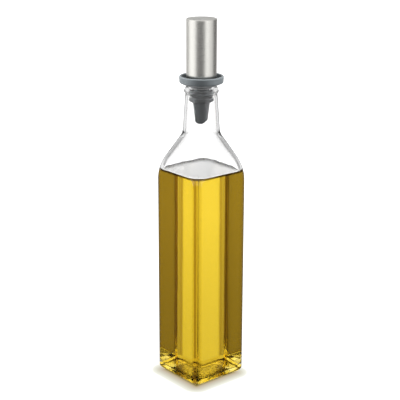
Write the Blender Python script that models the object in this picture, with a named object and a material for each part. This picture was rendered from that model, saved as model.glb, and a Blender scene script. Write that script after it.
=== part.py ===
"""Oil dispenser: a square glass bottle of oil, closed by a silicone stopper with a steel cap.

Metres, +Z up, origin at the middle of the foot. The bottle's flat sides face X and Y.
Run with: blender --background --python part.py
"""
import math

import bmesh
import bpy

MM = 0.001

# Bottle, outside
SIDE = 46.0 * MM
CORNER_RADIUS = 6.0 * MM
BOTTLE_HEIGHT = 208.4 * MM
HEEL_RADIUS = 3.0 * MM
SHOULDER_ANGLE = math.radians(35.5)
SHOULDER_CORNER_HEIGHT = 152.2 * MM
SHOULDER_ROUNDING = 28.0 * MM
THROAT_ROUNDING = 10.0 * MM
NECK_TOP_RADIUS = 11.0 * MM
NECK_TAPER = 0.070
NECK_TOP_HEIGHT = 202.6 * MM
FACE_BLEND = 6.0 * MM

# Bead round the mouth
BEAD_RADIUS = 11.8 * MM
BEAD_HEIGHT = 205.2 * MM
BEAD_START = math.radians(-62.0)
BEAD_END = math.radians(35.0)
SLOPE_RADIUS = 10.66 * MM
SLOPE_HEIGHT = 208.0 * MM
LIP_RADIUS = 10.0 * MM

# Bottle, inside
WALL = 2.2 * MM
MOUTH_RADIUS = 9.1 * MM
MOUTH_CHAMFER = 0.4 * MM
MOUTH_CHAMFER_HEIGHT = 0.8 * MM
BORE_TAPER = 0.065
FLOOR_HEIGHT = 3.0 * MM
FLOOR_CROWN = 1.0 * MM
FLOOR_ROUNDING = 4.0 * MM
FLOOR_SQUARENESS = 0.7
PUNT_HALF = 15.0 * MM
PUNT_CORNER = 7.5 * MM
PUNT_DEPTH = 1.6 * MM

# Oil
OIL_LEVEL = 150.9 * MM
GAP = 0.3 * MM

# Stopper
DISH_RADIUS = 15.2 * MM
DISH_TOP = 215.8 * MM
DISH_FLOOR = 212.6 * MM
DISH_WALL = 1.7 * MM
DISH_FILLET = 0.8 * MM
DISH_FOOT = 211.0 * MM
DISH_FOOT_RADIUS = 15.0 * MM
DISH_FOOT_ROUNDING = 0.7 * MM
DISH_FOOT_END = math.radians(-65.0)
SEAT_RADIUS = 9.3 * MM
PLUG_RADIUS = 7.7 * MM
RIB_RADIUS = 8.4 * MM
RIB_HEIGHT = 2.2 * MM
RIB_EDGE = 0.45 * MM
RIB_TOPS = (205.6 * MM, 202.5 * MM)
CONE_RADIUS = 7.0 * MM
CONE_TOP = 198.9 * MM
TUBE_TOP = 197.6 * MM
TUBE_TOP_RADIUS = 5.7 * MM
TUBE_END = 182.8 * MM
TUBE_END_RADIUS = 4.3 * MM
TUBE_ROUNDING = 2.6 * MM
TUBE_CUT_ANGLE = math.radians(40.0)
TUBE_CUT_START = 0.9 * MM
TUBE_CUT_DIRECTION = math.radians(45.0)
TUBE_CUTTER_SIZE = 16.0 * MM

# Cap
CAP_RADIUS = 10.35 * MM
CAP_TOP = 254.2 * MM
CAP_EDGE = 0.55 * MM

# Fineness
SEGMENTS = 48
QUARTER = SEGMENTS // 4
CORNER_SHARE = 0.5
SHOULDER_STEPS = 7
THROAT_STEPS = 5
BEAD_STEPS = 5
HEEL_STEPS = 4
PUNT_SHARES = (0.3, 0.6, 0.85)
CROWN_SHARES = (0.7, 0.35)
SHARP_ANGLE = math.radians(35.0)

ROOT_TWO = math.sqrt(2.0)


def make_material(name, colour, roughness, metallic=0.0, transmission=0.0):
    """A Principled material with one colour."""
    material = bpy.data.materials.new(name)
    material.use_nodes = True
    shader = material.node_tree.nodes["Principled BSDF"]
    shader.inputs["Base Color"].default_value = (*colour, 1.0)
    shader.inputs["Roughness"].default_value = roughness
    shader.inputs["Metallic"].default_value = metallic
    shader.inputs["Transmission Weight"].default_value = transmission
    material.diffuse_color = (*colour, 1.0)
    return material


def add_object(name, bm, material):
    """Puts a finished bmesh into a new, smooth shaded object of the scene."""
    bmesh.ops.recalc_face_normals(bm, faces=bm.faces)
    mesh = bpy.data.meshes.new(name)
    bm.to_mesh(mesh)
    bm.free()
    mesh.materials.append(material)
    mesh.shade_smooth()
    mesh.set_sharp_from_angle(angle=SHARP_ANGLE)
    obj = bpy.data.objects.new(name, mesh)
    bpy.context.collection.objects.link(obj)
    return obj


def arc(centre, radius, start, end, steps):
    """Points (r, z) on an arc, its two ends included; angles are measured from +r towards +z."""
    points = []
    for step in range(steps + 1):
        angle = start + (end - start) * step / steps
        points.append((centre[0] + radius * math.cos(angle), centre[1] + radius * math.sin(angle)))
    return points


def outline(half, corner):
    """One ring of a rounded square, as (x, y) points, the same number for every size.

    The points start in the middle of the +X side. On a square section half of them lie on the
    corners' arcs; on a round section they are evenly spread; in between they slide from one
    spread to the other.
    """
    corner = min(corner, half)
    flat = half - corner
    length = 2.0 * flat + 0.5 * math.pi * corner
    flat_share = flat / length
    squareness = min(1.0, flat / (0.5 * CORNER_RADIUS))
    flat_steps = QUARTER * (1.0 - CORNER_SHARE) / 2.0
    points = []
    for step in range(QUARTER):
        if step <= flat_steps:
            gathered = flat_share * step / flat_steps
        elif step < QUARTER - flat_steps:
            along = (step - flat_steps) / (QUARTER - 2.0 * flat_steps)
            gathered = flat_share + along * (1.0 - 2.0 * flat_share)
        else:
            gathered = 1.0 - flat_share * (QUARTER - step) / flat_steps
        share = squareness * gathered + (1.0 - squareness) * step / QUARTER
        points.append(quarter_point(half, corner, share * length))
    ring = []
    for turn in range(4):
        for x, y in points:
            ring.append(((x, y), (-y, x), (-x, -y), (y, -x))[turn])
    return ring


def quarter_point(half, corner, distance):
    """The point at a distance along a quarter of the rounded square, from +X to +Y."""
    flat = half - corner
    if distance <= flat:
        return half, distance
    bend = 0.5 * math.pi * corner
    if distance < flat + bend:
        angle = (distance - flat) / corner
        return flat + corner * math.cos(angle), flat + corner * math.sin(angle)
    return 2.0 * flat + bend - distance, half


def smooth_min(a, b, blend):
    """The smaller of two values, rounded off where they are closer than the blend."""
    closeness = max(blend - abs(a - b), 0.0) / blend
    return min(a, b) - 0.25 * blend * closeness * closeness


def section(reach, half_limit, corner_limit):
    """Half side and corner radius of a section whose corners reach this far from the axis.

    Round sections stay round until they meet the flat sides, and then grow into the corners.
    """
    full_reach = ROOT_TWO * (half_limit - corner_limit) + corner_limit
    if reach >= full_reach:
        return half_limit, corner_limit
    half = smooth_min(reach, half_limit, FACE_BLEND)
    corner = (ROOT_TWO * half - reach) / (ROOT_TWO - 1.0)
    return half, min(corner, half)


def shoulder_profile(body_reach, corner_height, throat_radius, throat_height, taper, top_height):
    """Points (reach, z) from the body's top up the shoulder and the neck.

    The shoulder is a straight cone, joined to the upright body by one arc and to the slightly
    tapered neck by another.
    """
    slope = math.tan(SHOULDER_ANGLE)
    lean = math.atan(taper)
    bend = SHOULDER_ROUNDING
    lower_centre = (body_reach - bend, corner_height - bend * math.tan(0.5 * SHOULDER_ANGLE))
    points = arc(lower_centre, bend, 0.0, SHOULDER_ANGLE, SHOULDER_STEPS)

    def neck_radius(z):
        return throat_radius + taper * (throat_height - z)

    cone_base = body_reach + slope * corner_height
    neck_base = throat_radius + taper * throat_height
    meet_height = (cone_base - neck_base) / (slope - taper)
    meet_radius = neck_radius(meet_height)
    turn = SHOULDER_ANGLE - lean
    reach_back = THROAT_ROUNDING * math.tan(0.5 * turn)
    start = (meet_radius + reach_back * math.sin(SHOULDER_ANGLE),
             meet_height - reach_back * math.cos(SHOULDER_ANGLE))
    upper_centre = (start[0] + THROAT_ROUNDING * math.cos(SHOULDER_ANGLE),
                    start[1] + THROAT_ROUNDING * math.sin(SHOULDER_ANGLE))
    middle = (0.5 * (points[-1][0] + start[0]), 0.5 * (points[-1][1] + start[1]))
    points.append(middle)
    points += arc(upper_centre, THROAT_ROUNDING, math.pi + SHOULDER_ANGLE, math.pi + lean, THROAT_STEPS)
    points.append((neck_radius(top_height), top_height))
    return points


def base_rings():
    """The underside: a shallow punt, a flat foot to stand on, and a rounded heel."""
    rings = []
    for share in PUNT_SHARES:
        rings.append((share * PUNT_HALF, share * PUNT_CORNER, PUNT_DEPTH * (1.0 - share * share)))
    rings.append((PUNT_HALF, PUNT_CORNER, 0.0))
    half = 0.5 * SIDE
    for step in range(HEEL_STEPS + 1):
        angle = 0.5 * math.pi * step / HEEL_STEPS
        inset = HEEL_RADIUS * (1.0 - math.sin(angle))
        rings.append((half - inset, CORNER_RADIUS - inset, HEEL_RADIUS * (1.0 - math.cos(angle))))
    return rings


def outer_rings():
    """The outside, from the heel over the shoulder and the neck to the bead and the lip."""
    half = 0.5 * SIDE
    full_reach = ROOT_TWO * (half - CORNER_RADIUS) + CORNER_RADIUS
    rings = []
    for reach, z in shoulder_profile(full_reach, SHOULDER_CORNER_HEIGHT, NECK_TOP_RADIUS,
                                     NECK_TOP_HEIGHT, NECK_TAPER, NECK_TOP_HEIGHT):
        rings.append((*section(reach, half, CORNER_RADIUS), z))
    bulge = BEAD_HEIGHT - NECK_TOP_HEIGHT
    bead = arc((BEAD_RADIUS - bulge, BEAD_HEIGHT), bulge, BEAD_START, BEAD_END, BEAD_STEPS)
    for r, z in bead + [(SLOPE_RADIUS, SLOPE_HEIGHT), (LIP_RADIUS, BOTTLE_HEIGHT)]:
        rings.append((r, r, z))
    return rings


def inner_profile():
    """Points (reach, z) of the inside, from the body up to the mouth."""
    half = 0.5 * SIDE - WALL
    corner = CORNER_RADIUS - WALL
    reach = ROOT_TWO * (half - corner) + corner
    drop = WALL * math.tan(0.5 * SHOULDER_ANGLE)
    return shoulder_profile(reach, SHOULDER_CORNER_HEIGHT - drop, MOUTH_RADIUS, BOTTLE_HEIGHT,
                            BORE_TAPER, BOTTLE_HEIGHT - MOUTH_CHAMFER_HEIGHT)


def inner_floor_rings(gap):
    """The inside's foot from the upright wall down to the crowned floor, a gap inside the glass."""
    half = 0.5 * SIDE - WALL - gap
    corner = CORNER_RADIUS - WALL - gap
    floor = FLOOR_HEIGHT + gap
    bend = FLOOR_ROUNDING - gap
    rings = []
    for step in range(HEEL_STEPS + 1):
        angle = 0.5 * math.pi * step / HEEL_STEPS
        inset = bend * (1.0 - math.cos(angle))
        rings.append((half - inset, corner + 0.5 * inset, floor + bend * (1.0 - math.sin(angle))))
    edge = half - bend
    edge_corner = corner + 0.5 * bend
    round_corner = (1.0 - FLOOR_SQUARENESS) * edge
    for share in CROWN_SHARES:
        rings.append((share * edge, share * edge_corner + (1.0 - share) * round_corner,
                      floor + FLOOR_CROWN * (1.0 - share * share)))
    return rings


def loft(bm, rings):
    """Joins rings of (half side, corner radius, z) with faces and closes the two ends."""
    loops = []
    for half, corner, z in rings:
        loops.append([bm.verts.new((x, y, z)) for x, y in outline(half, corner)])
    for lower, upper in zip(loops, loops[1:]):
        for index in range(SEGMENTS):
            following = (index + 1) % SEGMENTS
            bm.faces.new((lower[index], lower[following], upper[following], upper[index]))
    bm.faces.new(reversed(loops[0]))
    bm.faces.new(loops[-1])


def build_bottle(material):
    """The glass as one closed skin: underside, outside, lip, inside and floor."""
    half = 0.5 * SIDE - WALL
    corner = CORNER_RADIUS - WALL
    inside = []
    for reach, z in inner_profile():
        inside.append((*section(reach, half, corner), z))
    mouth = MOUTH_RADIUS + MOUTH_CHAMFER
    inside.append((mouth, mouth, BOTTLE_HEIGHT))
    bm = bmesh.new()
    loft(bm, base_rings() + outer_rings() + inside[::-1] + inner_floor_rings(0.0))
    return add_object("glass_bottle", bm, material)


def build_oil(material):
    """The oil as a solid up to its level, clear of the glass by the gap."""
    half = 0.5 * SIDE - WALL - GAP
    corner = CORNER_RADIUS - WALL - GAP
    rings = inner_floor_rings(GAP)[::-1]
    below = [(reach - GAP, z) for reach, z in inner_profile() if z < OIL_LEVEL - MM]
    for reach, z in below:
        rings.append((*section(reach, half, corner), z))
    rings.append((*section(level_reach(OIL_LEVEL) - GAP, half, corner), OIL_LEVEL))
    bm = bmesh.new()
    loft(bm, rings)
    return add_object("oil_fill", bm, material)


def level_reach(level):
    """How far the inside's corners reach from the axis at a height on the shoulder's arc."""
    half = 0.5 * SIDE - WALL
    corner = CORNER_RADIUS - WALL
    reach = ROOT_TWO * (half - corner) + corner
    drop = WALL * math.tan(0.5 * SHOULDER_ANGLE)
    arc_foot = SHOULDER_CORNER_HEIGHT - drop - SHOULDER_ROUNDING * math.tan(0.5 * SHOULDER_ANGLE)
    rise = level - arc_foot
    return reach - SHOULDER_ROUNDING + math.sqrt(SHOULDER_ROUNDING ** 2 - rise ** 2)


def stopper_profile():
    """The turned outline of the stopper, from the dish's middle down its outside to the tube's end."""
    inner_wall = DISH_RADIUS - DISH_WALL
    lip = 0.5 * DISH_WALL
    foot = DISH_FOOT_ROUNDING
    points = [(0.0, DISH_FLOOR)]
    points += arc((inner_wall - DISH_FILLET, DISH_FLOOR + DISH_FILLET), DISH_FILLET, -0.5 * math.pi, 0.0, 3)
    points += arc((DISH_RADIUS - lip, DISH_TOP - lip), lip, math.pi, 0.0, 6)
    points += arc((DISH_FOOT_RADIUS - foot, DISH_FOOT + foot), foot, 0.0, DISH_FOOT_END, 3)
    points.append((SEAT_RADIUS, BOTTLE_HEIGHT + GAP))
    points.append((PLUG_RADIUS, BOTTLE_HEIGHT + GAP))
    for top in RIB_TOPS:
        points.append((PLUG_RADIUS, top))
        points.append((RIB_RADIUS - RIB_EDGE, top))
        points.append((RIB_RADIUS, top - RIB_EDGE))
        points.append((RIB_RADIUS, top - RIB_HEIGHT + RIB_EDGE))
        points.append((RIB_RADIUS - RIB_EDGE, top - RIB_HEIGHT))
    points.append((CONE_RADIUS, CONE_TOP))
    points.append((TUBE_TOP_RADIUS, TUBE_TOP))
    end_centre = (TUBE_END_RADIUS - TUBE_ROUNDING, TUBE_END + TUBE_ROUNDING)
    points += arc(end_centre, TUBE_ROUNDING, 0.0, -0.5 * math.pi, 5)
    points.append((0.0, TUBE_END))
    return points


def build_stopper(material):
    """The stopper, turned from its outline, with the tube's end cut off at a slant."""
    mesh = bpy.data.meshes.new("silicone_stopper")
    points = [(r, 0.0, z) for r, z in stopper_profile()]
    mesh.from_pydata(points, [(index, index + 1) for index in range(len(points) - 1)], [])
    mesh.materials.append(material)
    stopper = bpy.data.objects.new("silicone_stopper", mesh)
    bpy.context.collection.objects.link(stopper)
    turn = stopper.modifiers.new("turn", "SCREW")
    turn.axis = "Z"
    turn.angle = 2.0 * math.pi
    turn.steps = SEGMENTS
    turn.render_steps = SEGMENTS
    turn.use_merge_vertices = True
    turn.merge_threshold = 0.00001
    turn.use_smooth_shade = True
    slant = stopper.modifiers.new("slant", "BOOLEAN")
    slant.operation = "DIFFERENCE"
    slant.solver = "EXACT"
    slant.object = build_tube_cutter()
    return stopper


def build_tube_cutter():
    """A hidden block whose upper face is the slanted plane of the tube's end."""
    bm = bmesh.new()
    bmesh.ops.create_cube(bm, size=TUBE_CUTTER_SIZE)
    bmesh.ops.translate(bm, vec=(0.0, 0.0, -0.5 * TUBE_CUTTER_SIZE), verts=bm.verts)
    mesh = bpy.data.meshes.new("tube_cutter")
    bm.to_mesh(mesh)
    bm.free()
    cutter = bpy.data.objects.new("tube_cutter", mesh)
    cutter.location = (TUBE_CUT_START * math.cos(TUBE_CUT_DIRECTION),
                       TUBE_CUT_START * math.sin(TUBE_CUT_DIRECTION), TUBE_END)
    cutter.rotation_mode = "XYZ"
    cutter.rotation_euler = (0.0, -TUBE_CUT_ANGLE, TUBE_CUT_DIRECTION)
    cutter.hide_render = True
    cutter.display_type = "WIRE"
    bpy.context.collection.objects.link(cutter)
    return cutter


def build_cap(material):
    """The steel cap: a plain cylinder with a fine edge, standing in the stopper's dish."""
    foot = DISH_FLOOR + GAP
    bm = bmesh.new()
    bmesh.ops.create_cone(bm, cap_ends=True, segments=SEGMENTS, radius1=CAP_RADIUS, radius2=CAP_RADIUS,
                          depth=CAP_TOP - foot)
    bmesh.ops.translate(bm, vec=(0.0, 0.0, 0.5 * (CAP_TOP + foot)), verts=bm.verts)
    cap = add_object("steel_cap", bm, material)
    edge = cap.modifiers.new("edge", "BEVEL")
    edge.width = CAP_EDGE
    edge.segments = 3
    edge.limit_method = "ANGLE"
    edge.angle_limit = SHARP_ANGLE
    return cap


def main():
    for obj in list(bpy.data.objects):
        bpy.data.objects.remove(obj, do_unlink=True)
    glass = make_material("clear_glass", (0.92, 0.95, 0.93), 0.02, transmission=1.0)
    oil = make_material("golden_oil", (0.75, 0.50, 0.05), 0.05)
    silicone = make_material("grey_silicone", (0.12, 0.14, 0.15), 0.5)
    steel = make_material("brushed_steel", (0.62, 0.61, 0.58), 0.3, metallic=1.0)
    build_bottle(glass)
    build_oil(oil)
    build_stopper(silicone)
    build_cap(steel)


main()
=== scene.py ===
"""Oil dispenser: a square glass bottle of golden oil, a silicone stopper and a brushed steel cap.

Each piece is a surface worked out as whole arrays: rings of a rounded square, or a turned outline,
whose sizes follow those of the solids in the frame. All sizes are in metres, with +Z up.
"""
import math

import bpy
import numpy as np
from mathutils import Matrix, Vector


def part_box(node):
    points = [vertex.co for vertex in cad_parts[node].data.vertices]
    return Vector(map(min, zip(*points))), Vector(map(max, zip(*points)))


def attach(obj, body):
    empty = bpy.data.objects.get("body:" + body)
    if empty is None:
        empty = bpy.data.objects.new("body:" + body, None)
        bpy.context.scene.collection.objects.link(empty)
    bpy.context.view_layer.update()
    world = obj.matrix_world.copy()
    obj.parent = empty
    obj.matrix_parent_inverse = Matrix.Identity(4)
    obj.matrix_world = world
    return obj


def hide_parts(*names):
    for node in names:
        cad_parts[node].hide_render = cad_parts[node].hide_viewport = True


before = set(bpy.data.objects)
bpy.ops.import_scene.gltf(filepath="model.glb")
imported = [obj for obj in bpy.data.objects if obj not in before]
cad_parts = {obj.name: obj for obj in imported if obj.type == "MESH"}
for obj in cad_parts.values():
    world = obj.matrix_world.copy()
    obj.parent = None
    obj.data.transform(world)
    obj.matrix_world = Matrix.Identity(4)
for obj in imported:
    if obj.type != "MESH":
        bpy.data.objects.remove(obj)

bl_info = {
    "name": "Oil Dispenser",
    "version": (1, 0, 0),
    "blender": (4, 5, 0),
    "location": "3D View > Sidebar > Dispenser",
    "description": "Builds a square oil bottle with its oil, stopper and cap, and a studio round it",
    "category": "Add Mesh",
}

MM = 0.001
ROOT_TWO = math.sqrt(2.0)
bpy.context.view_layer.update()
BOTTLE_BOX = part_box("glass_bottle")
OIL_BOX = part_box("oil_fill")
STOPPER_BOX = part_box("silicone_stopper")
CAP_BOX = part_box("steel_cap")

# Points in each ring of a piece, and the radius of the ring that closes a turned outline.
BOTTLE_AROUND, STOPPER_AROUND, CAP_AROUND = 320, 160, 192
POLE = 0.3 * MM
# Two points of an outline that are nearer than this are one.
SAME_POINT = 0.002 * MM
# Corner radius in the middle of the floor and of the oil's surface, as a share of their half side.
MIDDLE_ROUNDING = 0.3
# The bottle's finishes, by their place in its material slots.
OUTER, INNER, WETTED, STIPPLED, FOOT = range(5)
# Bands between the bottle's lowest rings that have dimples, and those of the rest of the foot.
STIPPLED_BANDS, FOOT_BANDS = slice(0, 10), slice(10, 28)

WHITE = (1.0, 1.0, 1.0)
BLACK = (0.0, 0.0, 0.0)
# Sockets of a Mix node for colours, which shares their names with its other kinds.
MIX_FIRST, MIX_SECOND, MIX_RESULT = 6, 7, 2
# Colours that a solid view shows.
GLASS_SHOWN = (0.90, 0.94, 0.93)
OIL_SHOWN = (0.82, 0.60, 0.08)
GLASS_IOR, OIL_IOR, OIL_TOP_IOR = 1.5, 1.47, 1.6
# How far up its skin faces where the oil's glossy top starts, and where it is whole.
OIL_TOP_TURN = (0.3, 0.5)
PLUG_ROUGHNESS, DISH_ROUGHNESS = 0.22, 0.42

# Painted shade on the bottle's outside and inside: what they let through, by how much a slanted view
# reflects.
PAINTED_OUTER_EDGE_SHADE = ((0.09, 1.0), (0.15, 0.95), (0.28, 0.66), (0.45, 0.42), (1.0, 0.38))
PAINTED_INNER_EDGE_SHADE = ((0.05, 1.0), (0.14, 0.95), (0.28, 0.64), (0.45, 0.34), (1.0, 0.20))
# Painted shade on what leaves the outside near an upright corner, for light that came straight or
# was mirrored, and how far before the corner's rounding it starts.
PAINTED_CORNER_SHADE_STRAIGHT = ((0.0, WHITE), (0.45, (0.96, 0.95, 0.94)), (0.60, (0.76, 0.72, 0.66)),
                   (0.72, (0.40, 0.35, 0.28)), (0.85, (0.33, 0.28, 0.20)), (1.0, (0.42, 0.37, 0.28)))
PAINTED_CORNER_SHADE_MIRRORED = ((0.0, WHITE), (0.36, (0.95, 0.94, 0.93)), (0.46, (0.50, 0.44, 0.36)),
                   (0.56, (0.20, 0.15, 0.10)), (1.0, (0.06, 0.045, 0.03)))
CORNER_LEAD = 2.0 * MM
# Painted shade on what the oil's skin lets through near an upright corner, and over the band under its
# brim.
PAINTED_CORNER_LINE = ((0.32, WHITE), (0.80, (0.72, 0.66, 0.56)))
BRIM_SHADE = ((0.0, WHITE), (0.35, (0.05, 0.04, 0.025)))
BRIM_BAND = 1.9 * MM

# Painted shadows on the floor by the distance from the foot: a deep one close by and a faint wide one.
CONTACT_SHADE = ((0.0, (0.20, 0.15, 0.04)), (0.10, (0.44, 0.37, 0.24)), (0.17, (0.49, 0.43, 0.34)),
                 (0.31, (0.59, 0.57, 0.47)), (0.48, (0.76, 0.76, 0.68)), (0.55, (0.92, 0.92, 0.89)),
                 (0.62, WHITE))
CONTACT_REACH = 20.0 * MM
FAR_SHADE = ((0.0, (0.76, 0.76, 0.76)), (1.0, WHITE))
FAR_REACH = 360.0 * MM
# How far both are thrown forwards, and the turn of that direction from the picture's front.
SHADE_THROW = 5.0 * MM
SHADE_TURN = math.radians(8.0)
# Numbers of surfaces passed from which each gain holds, and the most that are counted.
PASSED_STEPS = (0.0, 0.5, 2.5, 4.5, 6.5, 9.5)
MOST_PASSED = 10.0
# Brightness of the lamps on dull surfaces behind glass.
BEHIND_GLASS = 0.6

# Width of the camera's frame in millimetres.
FRAME_WIDTH = 36.0
FLOOR_HALF, FLOOR_DROP = 6.0, 0.2 * MM
# The lamps at the sides: distance from the axis, height, size and aim. The one overhead: size and place.
LAMP_AWAY, LAMP_HEIGHT, LAMP_SIZE, LAMP_AIM = 0.6, 0.36, (0.35, 0.6), (0.0, 0.0, 0.2)
OVERHEAD_SIZE, OVERHEAD_SPOT = (1.0, 1.0), (0.0, 0.0, 1.3)
CARD_AWAY, CARD_TOP = 0.22, 0.45
# Each card's name, its place in degrees from the picture's front, width, lower edge and brightness.
CARDS = (("bright_left", -73.0, 0.270, 0.115, 1.45), ("bright_right", 42.0, 0.128, 0.115, 1.40),
         ("pale_right", 76.0, 0.130, 0.115, 0.85), ("dark_back", 112.0, 0.120, 0.0, 0.08),
         ("pale_back", 160.0, 0.200, 0.115, 0.55), ("pale_left", -140.0, 0.200, 0.115, 0.65))


def number(name, description, default, **kind):
    """A property that holds a number, with its unit where it has one."""
    return bpy.props.FloatProperty(name=name, description=description, default=default, precision=5,
                                   **kind)


def length(name, description, default):
    """A property that holds a length in metres."""
    return number(name, description, default, unit="LENGTH", subtype="DISTANCE")


def angle(name, description, degrees):
    """A property that holds an angle, given in degrees."""
    return number(name, description, math.radians(degrees), unit="ROTATION", subtype="ANGLE")


def colour(name, description, default, brightest=1.0):
    """A property that holds a linear colour, or a gain of each colour, which may be above one."""
    return bpy.props.FloatVectorProperty(name=name, description=description, default=default,
                                         subtype="COLOR", size=3, min=0.0, max=brightest)


class BottleSizes(bpy.types.PropertyGroup):
    """Sizes and tints of the glass bottle, outside and inside."""
    side: length("Side", "Width across two flat sides", BOTTLE_BOX[1].x - BOTTLE_BOX[0].x)
    height: length("Height", "Height of the lip", BOTTLE_BOX[1].z)
    corner: length("Corner radius", "Radius of the upright corners", 6.0 * MM)
    heel: length("Heel radius", "Rounding between the sides and the foot", 3.0 * MM)
    punt_half: length("Punt", "Half width of the hollow under the bottle", 15.0 * MM)
    punt_corner: length("Punt corner", "Corner radius of the hollow under the bottle", 7.5 * MM)
    punt_depth: length("Punt depth", "Depth of the hollow under the bottle", 1.6 * MM)
    shoulder_angle: angle("Shoulder angle", "Lean of the shoulder's cone from upright", 35.5)
    shoulder_height: length("Shoulder height", "Where cone and corner edge would meet", 152.2 * MM)
    shoulder_rounding: length("Shoulder rounding", "Arc from the body into the cone", 28.0 * MM)
    throat_rounding: length("Throat rounding", "Arc from the cone into the neck", 10.0 * MM)
    face_blend: length("Face blend", "How softly the round shoulder runs into the flat sides", 6.0 * MM)
    neck_radius: length("Neck radius", "Radius at the top of the neck", 11.0 * MM)
    neck_top: length("Neck top", "Height of the groove under the bead", 203.3 * MM)
    neck_taper: number("Neck taper", "How much the neck widens for each metre down", 0.070)
    bead_radius: length("Bead radius", "Greatest radius of the bead round the mouth", 11.8 * MM)
    bead_height: length("Bead height", "Height of the bead's middle", 205.5 * MM)
    lip_radius: length("Lip radius", "Outer radius of the flat lip", 10.0 * MM)
    wall: length("Wall", "Thickness of the sides", 2.2 * MM)
    mouth_radius: length("Mouth radius", "Radius of the bore at the mouth", 9.1 * MM)
    mouth_chamfer: length("Mouth rounding", "Rounding of the mouth's inner edge", 0.5 * MM)
    bore_taper: number("Bore taper", "How much the bore widens for each metre down", 0.065)
    floor_height: length("Floor height", "Thickness of the foot at its edge", 3.0 * MM)
    floor_crown: length("Floor crown", "How far the floor rises in its middle", 1.0 * MM)
    floor_rounding: length("Floor rounding", "Arc from the wall into the floor", 4.0 * MM)
    inner_corner: length("Inner corner", "Radius of the inside's upright corners", 3.8 * MM)
    # Painted colours of the foot glass: a dark painted shade in the dimples, a painted golden light on the
    # rest.
    dimple_painted_shade: colour("Dimple tint", "Colour that the foot's dimples let through", (0.24, 0.13, 0.02))
    foot_painted_light: colour("Foot tint", "Colour that the rest of the foot lets through", (0.94, 0.82, 0.36))


class OilSizes(bpy.types.PropertyGroup):
    """Sizes and colour of the oil."""
    brim: length("Brim", "Height that the oil reaches on the glass", OIL_BOX[1].z)
    skin: length("Skin", "How far the oil reaches into the glass, so that no air shows", 0.05 * MM)
    rise: length("Rise", "How far the oil climbs the glass", 1.2 * MM)
    climb: length("Climb", "Distance over which it climbs", 1.3 * MM)
    tint: colour("Tint", "Colour that the oil lets through", (0.952, 0.844, 0.0))
    depth: number("Depth", "How strongly a metre of oil takes out the rest", 68.0)
    streaks: number("Streaks", "What the oil's skin lets through in its darkest streaks", 0.93)
    # Reach of the painted shade at the upright corners of the oil's skin.
    painted_corner_shade: length("Corner shade", "How far the dark upright corners reach along the sides", 5.6 * MM)


class StopperSizes(bpy.types.PropertyGroup):
    """Sizes and colour of the silicone stopper."""
    dish_radius: length("Dish radius", "Outer radius of the dish", STOPPER_BOX[1].x)
    dish_top: length("Dish top", "Height of the dish's rim", STOPPER_BOX[1].z)
    dish_floor: length("Dish floor", "Height of the floor that the cap stands on", 212.6 * MM)
    dish_wall: length("Dish wall", "Thickness of the dish's rim", 1.7 * MM)
    dish_fillet: length("Dish fillet", "Rounding inside the dish", 0.8 * MM)
    dish_foot: length("Dish foot", "Height of the rim's lower edge", 211.0 * MM)
    foot_radius: length("Foot radius", "Radius of the rim's lower edge", 15.0 * MM)
    seat_radius: length("Seat radius", "Radius where the dish meets the glass", 9.3 * MM)
    seat_height: length("Seat height", "Height where the dish meets the glass", 208.7 * MM)
    plug_radius: length("Plug radius", "Radius of the plug between its ribs", 7.0 * MM)
    rib_radius: length("Rib radius", "Radius of the upper rib", 8.8 * MM)
    rib_growth: number("Rib growth", "How much wider the ribs get for each metre down", -0.10)
    rib_height: length("Rib height", "Height of one rib", 2.3 * MM)
    rib_edge: length("Rib edge", "Rounding of a rib's edges", 0.45 * MM)
    upper_rib: length("Upper rib", "Height of the upper rib's top", 205.2 * MM)
    lower_rib: length("Lower rib", "Height of the lower rib's top", 201.0 * MM)
    cone_radius: length("Cone radius", "Radius halfway down to the tube", 7.2 * MM)
    cone_top: length("Cone top", "Height of that radius", 198.2 * MM)
    tube_top: length("Tube top", "Where the tube starts", 197.3 * MM)
    tube_radius: length("Tube radius", "Radius of the tube's top", 5.7 * MM)
    tube_end: length("Tube end", "Lowest point of the tube", STOPPER_BOX[0].z)
    end_radius: length("End radius", "Radius of the tube's end", 4.3 * MM)
    end_rounding: length("End rounding", "Rounding of the tube's end", 2.6 * MM)
    cut_angle: angle("Cut angle", "Slant of the tube's end", 40.0)
    cut_start: length("Cut start", "Where the slant starts, from the axis", 0.9 * MM)
    cut_direction: angle("Cut direction", "Side that the slant rises to", 45.0)
    colour: colour("Colour", "Colour of the silicone", (0.120, 0.135, 0.143))


class CapSizes(bpy.types.PropertyGroup):
    """Sizes and colour of the steel cap."""
    radius: length("Radius", "Radius of the cap", CAP_BOX[1].x)
    foot: length("Foot", "Height of the cap's lower edge", CAP_BOX[0].z)
    top: length("Top", "Height of the cap's flat top", CAP_BOX[1].z)
    edge: length("Edge", "Rounding of the top's edge", 0.55 * MM)
    colour: colour("Colour", "Colour of the steel", (0.72, 0.71, 0.67))


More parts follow.
